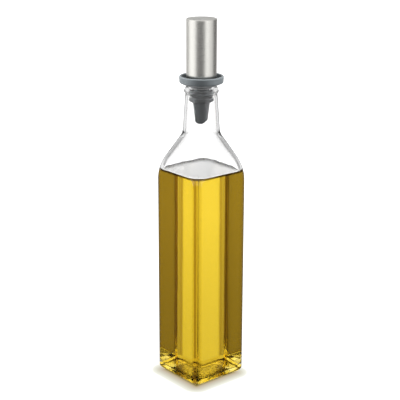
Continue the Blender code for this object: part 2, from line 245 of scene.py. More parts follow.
class StageSettings(bpy.types.PropertyGroup):
    """Camera, floor and lights."""
    azimuth: angle("Azimuth", "Direction of the camera round the bottle", 49.886)
    distance: length("Distance", "Distance of the camera from the axis", 0.72945)
    height: length("Height", "Height of the camera", 0.35212)
    pitch: angle("Pitch", "How far the camera looks down", 17.075)
    yaw: angle("Yaw", "How far the camera looks past the axis", 0.057)
    roll: angle("Roll", "Tilt of the camera", 0.172)
    lens: number("Lens", "Focal length in millimetres on a 36 mm frame", 98.53)
    floor_colour: colour("Floor", "Colour of the floor", (0.98, 0.98, 0.98))
    floor_glow: number("Floor glow", "How much of its colour the floor gives out by itself", 1.3)
    floor_plain: number("Plain floor", "Gain of the floor where nothing is in front of it", 1.25)
    floor_bounce: number("Floor bounce", "Share of the floor's light that reaches dull surfaces", 0.06)
    air_light: number("Air light", "Strength of the light from all round", 0.80)
    air_bounce: number("Air bounce", "Share of the air's light that reaches dull surfaces", 0.08)
    key_light: number("Key light", "Power of the light overhead, in watts", 34.0)
    left_light: number("Left light", "Power of the light at the camera's left, in watts", 8.0)
    right_light: number("Right light", "Power of the light at the camera's right, in watts", 6.5)
    floor_sheen: number("Floor sheen", "Share of the floor that shiny outer surfaces mirror", 0.05)
    glass_air: number("Glass air", "Gain of the air that is seen through the glass", 1.42)
    bare_floor: number("Bare floor", "Gain of the floor that is mirrored in bare glass", 0.72)
    bare_air: number("Bare air", "Gain of the air that is mirrored in bare glass", 0.62)
    top_mirror: number("Top mirror", "Gain of the air where the oil's surface mirrors it", 2.0)
    top_floor: number("Top floor", "Gain of the floor where a glossy thing in the neck mirrors it", 0.2)
    foot_air: colour("Foot air", "Gain of the air that the clear foot mirrors", (1.9, 1.7, 0.95), 4.0)
    dimmed_air: colour("Dimmed air", "Gain of the air that the foot's dimples mirror", (0.55, 0.42, 0.16))
    deep_air: colour("Deep air", "Gain of the air that is mirrored inside the oil", (2.0, 1.8, 0.9), 4.0)
    deep_floor: colour("Deep floor", "Gain of the floor mirrored below the oil's top", (0.350, 0.285, 0.14))


def arc(centre, radius, start, end, count):
    """A round stretch of an outline: the centre plus the radius times cosine and sine of the angle."""
    turn = np.linspace(start, end, count)
    return np.column_stack((centre[0] + radius * np.cos(turn), centre[1] + radius * np.sin(turn)))


def straight(first, last, count):
    """A straight stretch of an outline: points evenly spread from the first to the last."""
    share = np.linspace(0.0, 1.0, count)[:, None]
    return (1.0 - share) * np.array(first) + share * np.array(last)


def joined(stretches):
    """Stretches put end to end, without the points that two of them share."""
    points = np.vstack(stretches)
    step = np.linalg.norm(np.diff(points, axis=0), axis=1)
    return points[np.concatenate(([True], step > SAME_POINT))]


def softened(points, passes):
    """An outline with its edges rounded: in each pass, points move halfway to their neighbours' middle."""
    points = points.copy()
    for _ in range(passes):
        points[1:-1] = 0.5 * points[1:-1] + 0.25 * (points[:-2] + points[2:])
    return points


def smooth_min(a, b, blend):
    """The smaller of two values, less a quarter of the blend times the square of their closeness."""
    closeness = np.maximum(blend - np.abs(a - b), 0.0) / blend
    return np.minimum(a, b) - 0.25 * blend * closeness * closeness


def corner_reach(half, corner):
    """How far the corners of a rounded square reach from its middle."""
    return ROOT_TWO * (half - corner) + corner


def sections(outline, half_limit, blend):
    """Rings (half side, corner radius, height) for an outline (reach of the corners, height).

    A round section grows until it meets the flat sides, and then only into the corners: the half
    side is the smooth minimum of the reach and its limit, and the corner radius follows from both.
    """
    reach, height = outline.T
    half = smooth_min(reach, half_limit, blend)
    corner = np.minimum((ROOT_TWO * half - reach) / (ROOT_TWO - 1.0), half)
    return np.column_stack((half, corner, height))


def round_sections(outline):
    """Round rings (half side, corner radius, height) for an outline (radius, height)."""
    return outline[:, (0, 0, 1)]


def lofted(rings, square_corner):
    """Points of rounded squares, given as half side, corner radius and height, as (rings, around, 3).

    A point's place is its distance along a quarter: first up the flat side, then round the corner's
    arc, then along the next side, and the other quarters are this one turned. Square rings gather
    most of their points at the corners, and round ones spread them evenly.
    """
    half, corner, height = np.hsplit(rings, 3)
    corner = np.minimum(corner, half)
    flat = half - corner
    bend = 0.5 * math.pi * corner
    full = 2.0 * flat + bend
    quarter = BOTTLE_AROUND // 4
    share = np.arange(quarter)[None, :] / quarter
    side_share, arc_share = 0.2, 0.6
    rising = flat / full * share / side_share
    turning = flat / full + (share - side_share) / arc_share * bend / full
    leaving = 1.0 - flat / full * (1.0 - share) / side_share
    gathered = np.where(share <= side_share, rising, np.where(share < 1.0 - side_share, turning, leaving))
    squareness = np.minimum(1.0, flat / (0.5 * square_corner))
    distance = (squareness * gathered + (1.0 - squareness) * share) * full
    turn = np.clip((distance - flat) / np.maximum(corner, 1e-9), 0.0, 0.5 * math.pi)
    x = flat + corner * np.cos(turn) - np.maximum(distance - flat - bend, 0.0)
    y = np.minimum(distance, flat) + corner * np.sin(turn)
    z = height + 0.0 * x
    return np.concatenate([np.stack((*pair, z), axis=-1)
                           for pair in ((x, y), (-y, x), (-x, -y), (y, -x))], axis=1)


def turned(points, around):
    """Rings of a turned outline: radius times cosine and sine of the angle, at the outline's height."""
    turn = np.linspace(0.0, 2.0 * math.pi, around, endpoint=False)[None, :]
    radius, height = points[:, :1], points[:, 1:]
    return np.stack((radius * np.cos(turn), radius * np.sin(turn), height + 0.0 * turn), axis=-1)


def closed_mesh(name, rings):
    """A mesh through rings of points (rings, around, 3), with one point closing each end."""
    count, around, _ = rings.shape
    ends = np.stack((rings[0].mean(axis=0), rings[-1].mean(axis=0)))
    index = np.arange(count * around).reshape(count, around)
    ahead = np.roll(index, -1, axis=1)
    quads = np.stack((index[:-1], ahead[:-1], ahead[1:], index[1:]), axis=-1).reshape(-1, 4)
    low, high = count * around, count * around + 1
    foot = np.stack((ahead[0], index[0], np.full(around, low)), axis=-1)
    head = np.stack((index[-1], ahead[-1], np.full(around, high)), axis=-1)
    mesh = bpy.data.meshes.new(name)
    mesh.from_pydata(np.vstack((rings.reshape(-1, 3), ends)), [],
                     quads.tolist() + foot.tolist() + head.tolist())
    mesh.shade_smooth()
    return mesh


def in_scene(name, data):
    """A new object in the scene for a mesh, a light or a camera."""
    made = bpy.data.objects.new(name, data)
    bpy.context.scene.collection.objects.link(made)
    return made


def place(name, mesh, material, node):
    """Puts a finished mesh in the scene, where it stands for the node and takes its finish."""
    mesh.materials.append(material)
    piece = in_scene(name, mesh)
    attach(piece, "root")
    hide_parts(node)


def shoulder(sizes, reach, corner_height, radius, radius_height, taper, top):
    """Outline (reach, height) over the shoulder and up the neck.

    An arc turns the upright body into a straight cone, and a second arc turns the cone into the
    neck, whose radius falls by the taper for each metre up.
    """
    tilt, lean = sizes.shoulder_angle, math.atan(taper)
    slope, bend, throat = math.tan(tilt), sizes.shoulder_rounding, sizes.throat_rounding
    centre = (reach - bend, corner_height - bend * math.tan(0.5 * tilt))
    lower = arc(centre, bend, 0.0, tilt, 29)
    cone_base = reach + slope * corner_height
    neck_base = radius + taper * radius_height
    meet = (cone_base - neck_base) / (slope - taper)
    back = throat * math.tan(0.5 * (tilt - lean))
    start = (neck_base - taper * meet + back * math.sin(tilt), meet - back * math.cos(tilt))
    centre = (start[0] + throat * math.cos(tilt), start[1] + throat * math.sin(tilt))
    upper = arc(centre, throat, math.pi + tilt, math.pi + lean, 17)
    neck = straight(upper[-1], (neck_base - taper * top, top), 15)
    return joined([lower, straight(lower[-1], start, 9), upper, neck])


def outer_rings(sizes):
    """Half side, corner radius and height of each ring outside: punt, foot, heel, body, neck, bead.

    The punt falls off with the square of the share of the way out, heel and bead are arcs, and the
    lip is a quarter of an ellipse.
    """
    half = 0.5 * sizes.side
    share = np.linspace(0.05, 1.0, 14)
    punt = np.column_stack((share * sizes.punt_half, share * sizes.punt_corner,
                            sizes.punt_depth * (1.0 - share ** 2)))
    heel = arc((half - sizes.heel, sizes.heel), sizes.heel, -0.5 * math.pi, 0.0, 13)
    heel = np.column_stack((heel[:, 0], sizes.corner - half + heel[:, 0], heel[:, 1]))
    foot = straight(punt[-1], heel[0], 4)[1:-1]
    full = corner_reach(half, sizes.corner)
    upward = shoulder(sizes, full, sizes.shoulder_height, sizes.neck_radius, sizes.neck_top,
                      sizes.neck_taper, sizes.neck_top)
    body = straight((full, sizes.heel), upward[0], 13)[1:-1]
    bulge, lip_radius = sizes.bead_height - sizes.neck_top, sizes.lip_radius
    bead_low, bead_high = math.radians(-62.0), math.radians(35.0)
    bead = arc((sizes.bead_radius - bulge, sizes.bead_height), bulge, bead_low, bead_high, 15)
    side, low = bead[-1]
    turn = np.linspace(0.0, 0.5 * math.pi, 9)
    lip = np.column_stack((lip_radius + (side - lip_radius) * np.cos(turn),
                           low + (sizes.height - low) * np.sin(turn)))
    groove = straight(upward[-1], bead[0], 4)
    top = softened(joined([upward[-5:], groove, bead, lip]), 3)
    sides = sections(np.vstack((body, upward[:-5])), half, sizes.face_blend)
    return np.vstack((punt, foot, heel, sides, round_sections(top)))


def inside(sizes):
    """Half side and outline (reach, height) of the inside, from its floor up to its mouth.

    It lies a wall inside the outer sides, and lower by that times the tangent of half the slope.
    """
    half = 0.5 * sizes.side - sizes.wall
    drop = sizes.wall * math.tan(0.5 * sizes.shoulder_angle)
    upward = shoulder(sizes, corner_reach(half, sizes.inner_corner), sizes.shoulder_height - drop,
                      sizes.mouth_radius, sizes.height, sizes.bore_taper,
                      sizes.height - sizes.mouth_chamfer)
    low = straight((upward[0, 0], sizes.floor_height + sizes.floor_rounding), upward[0], 13)[1:-1]
    return half, np.vstack((low, upward))


def floor_rings(sizes, skin):
    """Rings of the inside's floor, from its middle out to the upright wall, a skin into the glass.

    The floor falls from its crown with the square of the share of the way out, and an arc turns it
    up into the wall.
    """
    half, corner = 0.5 * sizes.side - sizes.wall + skin, sizes.inner_corner + skin
    floor, bend = sizes.floor_height - skin, sizes.floor_rounding
    curve = arc((half - bend, floor + bend), bend, -0.5 * math.pi, 0.0, 17)
    inset = half - curve[:, 0]
    edge = np.column_stack((curve[:, 0], corner + 0.5 * inset, curve[:, 1]))
    edge_half, edge_corner = edge[0, :2]
    share = np.linspace(0.04, 1.0, 14)[:-1]
    crown = np.column_stack((share * edge_half,
                             share * edge_corner + (1.0 - share) * MIDDLE_ROUNDING * edge_half,
                             floor + sizes.floor_crown * (1.0 - share ** 2)))
    return np.vstack((crown, edge))


class MakeBottle(bpy.types.Operator):
    """Lofts the bottle as one skin: underside, outside, lip, inside and floor."""
    bl_idname = "dispenser.make_bottle"
    bl_label = "Glass bottle"

    def execute(self, context):
        sizes = context.scene.bottle_sizes
        half, outline = inside(sizes)
        bend = sizes.mouth_chamfer
        mouth = arc((outline[-1, 0] + bend, outline[-1, 1]), bend, math.pi, 0.5 * math.pi, 7)[1:]
        hollow = np.vstack((floor_rings(sizes, 0.0), sections(outline, half, sizes.face_blend),
                            round_sections(mouth)))
        outer = outer_rings(sizes)
        rings = np.vstack((outer, hollow[::-1]))
        mesh = closed_mesh("bottle_glass", lofted(rings, sizes.corner))
        # Span of the painted shade at the outside's upright corners.
        arc_start = 0.5 * sizes.side - sizes.corner
        corner_span = (arc_start - CORNER_LEAD, arc_start + sizes.corner / ROOT_TWO)
        outer_glass = clear_glass("clear_glass", PAINTED_OUTER_EDGE_SHADE, corner_span)
        place("bottle_glass", mesh, outer_glass, "glass_bottle")
        # The dimples get a painted dark shade, and the rest of the foot a painted golden light.
        for glass in (clear_glass("inner_glass", PAINTED_INNER_EDGE_SHADE), clear_glass("wetted_glass", shine=0.0),
                      foot_glass("stippled_glass", sizes.dimple_painted_shade, 0.45, scale=420.0, strength=0.38),
                      foot_glass("foot_glass", sizes.foot_painted_light, 1.0, scale=260.0, strength=0.16)):
            mesh.materials.append(glass)
        bands = self.finishes(rings, len(outer), context.scene.oil_sizes.brim)
        ends = np.repeat((STIPPLED, WETTED), BOTTLE_AROUND)
        finish = np.concatenate((np.repeat(bands, BOTTLE_AROUND), ends)).astype(np.int32)
        mesh.polygons.foreach_set("material_index", finish)
        return {"FINISHED"}

    def finishes(self, rings, outer_count, brim):
        """The finish of each band between two rings: outside, foot, and inside by the oil's brim."""
        within = np.arange(len(rings) - 1) >= outer_count
        bands = np.where(within, np.where(rings[:-1, 2] < brim, WETTED, INNER), OUTER)
        bands[STIPPLED_BANDS] = STIPPLED
        bands[FOOT_BANDS] = FOOT
        return bands


class MakeOil(bpy.types.Operator):
    """Fills the bottle with oil up to its level, with a rim that climbs the glass."""
    bl_idname = "dispenser.make_oil"
    bl_label = "Oil"

    def execute(self, context):
        sizes, oil = context.scene.bottle_sizes, context.scene.oil_sizes
        half, outline = inside(sizes)
        brim_reach = np.interp(oil.brim, outline[:, 1], outline[:, 0])
        below = outline[outline[:, 1] < oil.brim - 0.3 * MM]
        outline = np.vstack((below, (brim_reach, oil.brim))) + (oil.skin, 0.0)
        wall = sections(outline, half + oil.skin, sizes.face_blend)
        rings = np.vstack((floor_rings(sizes, oil.skin), wall, self.surface(oil, half, *wall[-1, :2])))
        mesh = closed_mesh("bottle_oil", lofted(rings, sizes.corner))
        place("bottle_oil", mesh, golden_oil(oil, half), "oil_fill")
        return {"FINISHED"}

    def surface(self, oil, half, edge_half, edge_corner):
        """Rings of the oil's surface, from the glass in to its middle.

        Its height is the level plus the rise times the exponential of minus the distance from the
        glass over the climb. The rings lie closest on the climb and then grow wider apart.
        """
        close = 0.6 * MM
        wide = edge_half - close - (half - close) * (1.0 - np.linspace(0.0, 1.0, 40)[1:]) ** 2
        away = np.concatenate((np.linspace(0.03 * MM, close, 14), wide[wide > close]))
        share = 1.0 - away / edge_half
        rounding = share * (edge_corner + MIDDLE_ROUNDING * edge_half * (1.0 - share))
        climbed = oil.rise * np.exp(-(away - oil.skin).clip(0.0) / oil.climb)
        rings = np.column_stack((edge_half * share, rounding, oil.brim - oil.rise + climbed))
        return rings[share > 0.02]


def stopper_outline(sizes):
    """The turned outline from the dish's middle, over its rim and down the plug to the tube's top.

    It is made of straight stretches and arcs, and the lower rib's reach follows the ribs' growth.
    """
    lip, fillet, foot_edge = 0.5 * sizes.dish_wall, sizes.dish_fillet, 0.7 * MM
    inner, floor = sizes.dish_radius - sizes.dish_wall, sizes.dish_floor
    seat = (sizes.seat_radius, sizes.seat_height)
    cone = (sizes.cone_radius, sizes.cone_top)
    plug, edge = sizes.plug_radius, sizes.rib_edge
    down = [straight((POLE, floor), (inner - fillet, floor), 24),
            arc((inner - fillet, floor + fillet), fillet, -0.5 * math.pi, 0.0, 9),
            arc((sizes.dish_radius - lip, sizes.dish_top - lip), lip, math.pi, 0.0, 25),
            arc((sizes.foot_radius - foot_edge, sizes.dish_foot + foot_edge), foot_edge, 0.0,
                math.radians(-65.0), 9),
            straight((seat[0] + 0.5 * MM, seat[1] + 0.3 * MM), seat, 3),
            straight(seat, (plug, seat[1]), 5)]
    for top in (sizes.upper_rib, sizes.lower_rib):
        low = top - sizes.rib_height
        reach = sizes.rib_radius + sizes.rib_growth * (sizes.upper_rib - top) - edge
        down += [straight((plug, top + 0.2 * MM), (plug, top), 3),
                 arc((reach, top - edge), edge, 0.5 * math.pi, 0.0, 7),
                 arc((reach, low + edge), edge, 0.0, -0.5 * math.pi, 7)]
    down += [straight((reach, low), cone, 5), straight(cone, (sizes.tube_radius, sizes.tube_top), 4)]
    return joined(down)


def tube_rings(sizes):
    """Rings of the tube: its side runs down to the higher of the rounded end and the slanted cut.

    The cut is a plane that rises from its start by the tangent of its angle, towards its direction,
    and the end's height is the smooth maximum of the round end and this plane. The side stops a
    little above the end's highest point.
    """
    turn = np.linspace(0.0, 2.0 * math.pi, STOPPER_AROUND, endpoint=False)[None, :]
    toward = np.cos(turn - sizes.cut_direction)
    rounding, foot = sizes.end_rounding, sizes.tube_end + sizes.end_rounding
    rise, blend, above = math.tan(sizes.cut_angle), 0.8 * MM, 0.3 * MM

    def end_height(radius):
        out = np.clip(radius - (sizes.end_radius - rounding), 0.0, rounding)
        ball = foot - np.sqrt(rounding ** 2 - out ** 2)
        plane = sizes.tube_end + (radius * toward - sizes.cut_start) * rise
        return -smooth_min(-ball, -plane, blend)

    low = np.maximum(end_height(np.full_like(turn, sizes.end_radius)), foot) + above
    share = np.linspace(0.0, 1.0, 16)[1:, None]
    height = sizes.tube_top + share * (low - sizes.tube_top)
    lean = (sizes.tube_radius - sizes.end_radius) / (sizes.tube_top - foot)
    radius = sizes.end_radius + lean * (height - foot)
    inward = np.linspace(0.0, 0.5 * math.pi, 25)[1:, None]
    end_radius = radius[-1:, :] * np.cos(inward).clip(0.02)
    end = np.minimum(end_height(np.minimum(end_radius, sizes.end_radius)), low)
    radius, height = np.vstack((radius, end_radius)), np.vstack((height, end))
    return np.stack((radius * np.cos(turn), radius * np.sin(turn), height), axis=-1)


class MakeStopper(bpy.types.Operator):
    """Turns the stopper: a dish for the cap, a plug with two ribs and a tube with a slanted end."""
    bl_idname = "dispenser.make_stopper"
    bl_label = "Silicone stopper"

    def execute(self, context):
        sizes = context.scene.stopper_sizes
        upper = turned(stopper_outline(sizes), STOPPER_AROUND)
        mesh = closed_mesh("stopper_body", np.concatenate((upper, tube_rings(sizes)))[::-1])
        mesh.set_sharp_from_angle(angle=math.radians(50.0))
        place("stopper_body", mesh, grey_silicone(sizes), "silicone_stopper")
        return {"FINISHED"}


class MakeCap(bpy.types.Operator):
    """Turns the cap: a plain drum with a finely rounded edge round its flat top."""
    bl_idname = "dispenser.make_cap"
    bl_label = "Steel cap"

    def execute(self, context):
        sizes = context.scene.cap_sizes
        radius, foot, top, edge = sizes.radius, sizes.foot, sizes.top, sizes.edge
        outline = joined([straight((POLE, foot), (radius - edge, foot), 12),
                          arc((radius - edge, foot + edge), edge, -0.5 * math.pi, 0.0, 9),
                          straight((radius, foot + edge), (radius, top - edge), 30),
                          arc((radius - edge, top - edge), edge, 0.0, 0.5 * math.pi, 13),
                          straight((radius - edge, top), (POLE, top), 24)])
        mesh = closed_mesh("cap_drum", turned(outline, CAP_AROUND))
        place("cap_drum", mesh, brushed_steel(sizes), "steel_cap")
        return {"FINISHED"}


def feed(tree, node, inputs):
    """Joins each input of a node to an output, or sets it to a value; a colour gets its alpha."""
    for name, given in inputs.items():
        socket = node.inputs[name]
        if isinstance(given, bpy.types.NodeSocket):
            tree.links.new(given, socket)
        elif socket.type == "RGBA":
            socket.default_value = (*given, 1.0)
        else:
            socket.default_value = given


def add_node(tree, kind, inputs=None, **settings):
    """A shader node of a kind, with its settings and with its inputs fed."""
    node = tree.nodes.new("ShaderNode" + kind)
    for name, value in settings.items():
        setattr(node, name, value)
    feed(tree, node, inputs or {})
    return node


def math_node(tree, operation, *given):
    """The result of a math node on outputs or values."""
    return add_node(tree, "Math", dict(enumerate(given)), operation=operation).outputs["Value"]


def vector_node(tree, operation, *given):
    """The result of a vector math node on outputs or vectors."""
    return add_node(tree, "VectorMath", dict(enumerate(given)), operation=operation).outputs["Vector"]


def scaled(tree, colour, share):
    """A colour times a share."""
    return add_node(tree, "VectorMath", {"Vector": colour, "Scale": share},
                    operation="SCALE").outputs["Vector"]


def mixed(tree, share, first, second):
    """A colour between two, by a share that is held between 0 and 1."""
    given = {"Factor": share, MIX_FIRST: first, MIX_SECOND: second}
    return add_node(tree, "Mix", given, data_type="RGBA").outputs[MIX_RESULT]


def spread(tree, value, low, high, new_low=0.0, new_high=1.0):
    """A value carried from one range to another, and held within it."""
    names = ("Value", "From Min", "From Max", "To Min", "To Max")
    given = dict(zip(names, (value, low, high, new_low, new_high)))
    return add_node(tree, "MapRange", given).outputs["Result"]


def ramp(tree, share, stops, kind="LINEAR"):
    """A colour by a share, through stops of place and colour from the lowest to the highest."""
    node = add_node(tree, "ValToRGB", {"Fac": share})
    node.color_ramp.interpolation = kind
    elements = node.color_ramp.elements
    elements.remove(elements[1])
    elements[0].position = stops[0][0]
    for position, _ in stops[1:]:
        elements.new(position)
    for element, (_, shade) in zip(elements, stops):
        element.color = (*shade, 1.0)
    return node.outputs["Color"]


def grey(value):
    """A grey of one value."""
    return (value, value, value)


def object_place(tree):
    """The X, Y and Z of a point in its piece's own coordinates."""
    place_on = add_node(tree, "TexCoord").outputs["Object"]
    return add_node(tree, "SeparateXYZ", {"Vector": place_on}).outputs


def uneven_group():
    """A shared effect: a soft, uneven height and a value that drifts a little over the surface."""
    name = "uneven surface"
    if name in bpy.data.node_groups:
        return bpy.data.node_groups[name]
    group = bpy.data.node_groups.new(name, "ShaderNodeTree")
    for label in ("Scale", "Stretch", "Low", "High"):
        group.interface.new_socket(label, in_out="INPUT", socket_type="NodeSocketFloat")
    for label in ("Height", "Value"):
        group.interface.new_socket(label, in_out="OUTPUT", socket_type="NodeSocketFloat")
    given = group.nodes.new("NodeGroupInput").outputs
    parts = object_place(group)
    height = math_node(group, "MULTIPLY", parts["Z"], given["Stretch"])
    stretched = add_node(group, "CombineXYZ", {"X": parts["X"], "Y": parts["Y"], "Z": height})
    noise = add_node(group, "TexNoise", {"Vector": stretched.outputs["Vector"],
                                         "Scale": given["Scale"], "Detail": 3.0}).outputs["Fac"]
    drift = spread(group, noise, 0.0, 1.0, given["Low"], given["High"])
    feed(group, group.nodes.new("NodeGroupOutput"), {"Height": noise, "Value": drift})
    return group


def uneven(tree, scale, stretch=1.0, low=0.0, high=1.0):
    """The outputs of the shared uneven surface, with a material's own values."""
    given = {"Scale": scale, "Stretch": stretch, "Low": low, "High": high}
    return add_node(tree, "Group", given, node_tree=uneven_group()).outputs


def bump(tree, shader, surface, strength, distance):
    """Raises a shader's surface by the height of an uneven surface."""
    given = {"Height": surface["Height"], "Strength": strength, "Distance": distance}
    feed(tree, shader, {"Normal": add_node(tree, "Bump", given).outputs["Normal"]})


def new_material(name, shown, inputs):
    """A material whose Principled shader has its inputs set, and the colour that a solid view shows."""
    material = bpy.data.materials.new(name)
    material.use_nodes = True
    material.diffuse_color = (*shown, 1.0)
    tree = material.node_tree
    shader = tree.nodes["Principled BSDF"]
    feed(tree, shader, inputs)
    return material, tree, shader


def corner_closeness(tree, start, end):
    """How close a point is to an upright corner, from 0 to 1, and the point's height.

    The closeness is the smaller of the distances from the two middle planes, as a share of the way
    from a start to an end.
    """
    parts = object_place(tree)
    across = math_node(tree, "MINIMUM", math_node(tree, "ABSOLUTE", parts["X"]),
                       math_node(tree, "ABSOLUTE", parts["Y"]))
    return spread(tree, across, start, end), parts["Z"]


def painted_corner_shade(tree, start, end):
    """Painted shade on light leaving the outside's upright corners under the brim, deeper if it was
    mirrored.
    """
    closeness, height = corner_closeness(tree, start, end)
    under_brim = math_node(tree, "LESS_THAN", height, OIL_BOX[1].z)
    share = math_node(tree, "MULTIPLY", closeness, under_brim)
    mirrored = add_node(tree, "LightPath").outputs["Glossy Depth"]
    shade = mixed(tree, mirrored, ramp(tree, share, PAINTED_CORNER_SHADE_STRAIGHT), ramp(tree, share, PAINTED_CORNER_SHADE_MIRRORED))
    return mixed(tree, add_node(tree, "NewGeometry").outputs["Backfacing"], WHITE, shade)


def clear_glass(name, edge_shade_stops=(), corner_span=(), shine=1.0):
    """Clear moulded glass with faint waves in its skin, and painted shade where it is seen at a slant.

    Where oil wets it, its skin has no shine, because oil bends light as much as glass does. The
    outside also gets painted shade at its upright corners.
    """
    material, tree, shader = new_material(name, GLASS_SHOWN, {
        "Base Color": WHITE, "Specular Tint": grey(shine), "Roughness": 0.0, "IOR": GLASS_IOR,
        "Transmission Weight": 1.0})
    if edge_shade_stops:
        # Painted shade: the glass's colour darkens with the slant of the view.
        slant = add_node(tree, "Fresnel", {"IOR": GLASS_IOR}).outputs["Fac"]
        shade = ramp(tree, slant, [(share, grey(value)) for share, value in edge_shade_stops])
        if corner_span:
            shade = vector_node(tree, "MULTIPLY", shade, painted_corner_shade(tree, *corner_span))
        feed(tree, shader, {"Base Color": shade})
    bump(tree, shader, uneven(tree, scale=60.0, stretch=0.15), strength=0.25, distance=0.6 * MM)
    return material


def foot_glass(name, tint, clearness, scale, strength):
    """The foot's uneven glass, whose tint is painted shade or painted golden light; where it is less clear,
    it is duller.
    """
    material, tree, shader = new_material(name, GLASS_SHOWN, {
        "Base Color": tint, "Roughness": 0.0, "IOR": GLASS_IOR, "Transmission Weight": clearness})
    bump(tree, shader, uneven(tree, scale), strength, distance=1.2 * MM)
    return material


def skin_shade(tree, oil, half):
    """Painted shade on what the oil's skin lets through: little under its brim, less at the upright
    corners.
    """
    closeness, height = corner_closeness(tree, half - oil.painted_corner_shade, half)
    near_brim = spread(tree, height, oil.brim - BRIM_BAND, oil.brim)
    shade = vector_node(tree, "MULTIPLY", ramp(tree, closeness, PAINTED_CORNER_LINE),
                        ramp(tree, near_brim, BRIM_SHADE))
    streaks = uneven(tree, scale=420.0, stretch=0.02, low=oil.streaks)
    return scaled(tree, shade, streaks["Value"])


def golden_oil(oil, half):
    """Clear oil, whose tint deepens with the distance that light runs in it, with painted shade on its skin
    and a glossy top.
    """
    material, tree, shader = new_material("golden_oil", OIL_SHOWN, {
        "Roughness": 0.0, "IOR": OIL_IOR, "Specular Tint": BLACK, "Transmission Weight": 1.0,
        "Coat IOR": OIL_TOP_IOR, "Coat Roughness": 0.0})
    normal = add_node(tree, "NewGeometry").outputs["Normal"]
    upward = add_node(tree, "SeparateXYZ", {"Vector": normal}).outputs["Z"]
    # The oil's colour carries the painted shade of skin_shade.
    feed(tree, shader, {"Base Color": skin_shade(tree, oil, half),
                        "Coat Weight": spread(tree, upward, *OIL_TOP_TURN)})
    depth = add_node(tree, "VolumeAbsorption", {"Color": oil.tint, "Density": oil.depth})
    feed(tree, tree.nodes["Material Output"], {"Volume": depth.outputs["Volume"]})
    return material


def grey_silicone(sizes):
    """Satin silicone with a fine grain, rougher on the dish than on the plug and the tube."""
    material, tree, shader = new_material("grey_silicone", sizes.colour, {
        "Base Color": sizes.colour, "Sheen Weight": 0.15, "Sheen Roughness": 0.4})
    in_dish = math_node(tree, "GREATER_THAN", object_place(tree)["Z"], sizes.seat_height)
    rough = math_node(tree, "MULTIPLY_ADD", in_dish, DISH_ROUGHNESS - PLUG_ROUGHNESS, PLUG_ROUGHNESS)
    drift = uneven(tree, scale=150.0, low=-0.04, high=0.04)["Value"]
    feed(tree, shader, {"Roughness": math_node(tree, "ADD", rough, drift)})
    bump(tree, shader, uneven(tree, scale=2500.0), strength=0.2, distance=0.1 * MM)
    return material


def brushed_steel(sizes):
    """Steel brushed round the cap: fine rings in its skin, and highlights drawn out along its height."""
    material, tree, shader = new_material("brushed_steel", sizes.colour, {
        "Base Color": sizes.colour, "Metallic": 1.0, "Anisotropic": 0.8})
    rings = uneven(tree, scale=180.0, stretch=60.0, low=0.24, high=0.34)
    around = add_node(tree, "Tangent", direction_type="RADIAL", axis="Z").outputs["Tangent"]
    feed(tree, shader, {"Roughness": rings["Value"], "Tangent": around})
    bump(tree, shader, rings, strength=0.1, distance=0.05 * MM)
    return material


def add_light(name, power, size, place_at, look_at):
    """A soft rectangular light that faces a point, and that neither mirrors nor glass show.

    Behind glass it counts only for dull surfaces, and there a little less.
    """
    light = bpy.data.lights.new(name, "AREA")
    light.energy = power
    light.shape = "RECTANGLE"
    light.size, light.size_y = size
    light.use_nodes = True
    tree = light.node_tree
    path = add_node(tree, "LightPath").outputs
    behind_glass = math_node(tree, "MULTIPLY", path["Diffuse Depth"], BEHIND_GLASS)
    in_front = math_node(tree, "LESS_THAN", path["Transmission Depth"], PASSED_STEPS[1])
    feed(tree, tree.nodes["Emission"], {"Strength": math_node(tree, "MAXIMUM", behind_glass, in_front)})
    lamp = in_scene(name, light)
    lamp.visible_glossy = False
    lamp.location = place_at
    lamp.rotation_euler = (Vector(look_at) - Vector(place_at)).to_track_quat("-Z", "Y").to_euler()


def from_axis(turn, away, height=0.0):
    """A point at a distance from the axis, turned about it from the side where Y is lowest."""
    return Vector((away * math.sin(turn), -away * math.cos(turn), height))


def add_camera(stage):
    """A camera on its azimuth, distance and height, turned by its pitch, yaw and roll."""
    heading, pitch = stage.azimuth + stage.yaw, stage.pitch
    forward = Vector((-math.sin(heading) * math.cos(pitch), math.cos(heading) * math.cos(pitch),
                      -math.sin(pitch)))
    right = Vector((math.cos(heading), math.sin(heading), 0.0))
    up = right.cross(forward)
    tilted = math.cos(stage.roll) * right + math.sin(stage.roll) * up
    upright = math.cos(stage.roll) * up - math.sin(stage.roll) * right
    lens = bpy.data.cameras.new("camera")
    lens.sensor_width = FRAME_WIDTH
    lens.lens = stage.lens
    camera = in_scene("camera", lens)
    turn = Matrix((tilted, upright, -forward)).transposed()
    eye = from_axis(stage.azimuth, stage.distance, stage.height)
    camera.matrix_world = Matrix.Translation(eye) @ turn.to_4x4()
    bpy.context.scene.camera = camera


def stage_plane(name, corners, material):
    """A flat four-sided piece of the studio, which isn't part of the object."""
    mesh = bpy.data.meshes.new(name)
    mesh.from_pydata(corners, [], [(0, 1, 2, 3)])
    mesh.materials.append(material)
    plane = in_scene(name, mesh)
    return plane


def seen_gain(tree, path, straight_gains, mirrored_gains):
    """The gain of a light by the way that it is seen, as a colour.

    Light that came straight has a plain gain, or another through glass. Of the rest, the number of
    surfaces passed tells where it was mirrored: none outside, two in bare glass, four on the oil's
    surface, up to six in the clear foot, up to nine in its dimples, and more inside the oil. Each
    gain holds from its step of that number, and the last one holds to the end.
    """
    passed = spread(tree, path["Transmission Depth"], 0.0, MOST_PASSED)
    steps = [step / MOST_PASSED for step in PASSED_STEPS]
    straight_gain, mirrored_gain = [ramp(tree, passed, list(zip(steps, gains)), "CONSTANT")
                                    for gains in (straight_gains, mirrored_gains)]
    return mixed(tree, path["Glossy Depth"], straight_gain, mirrored_gain)


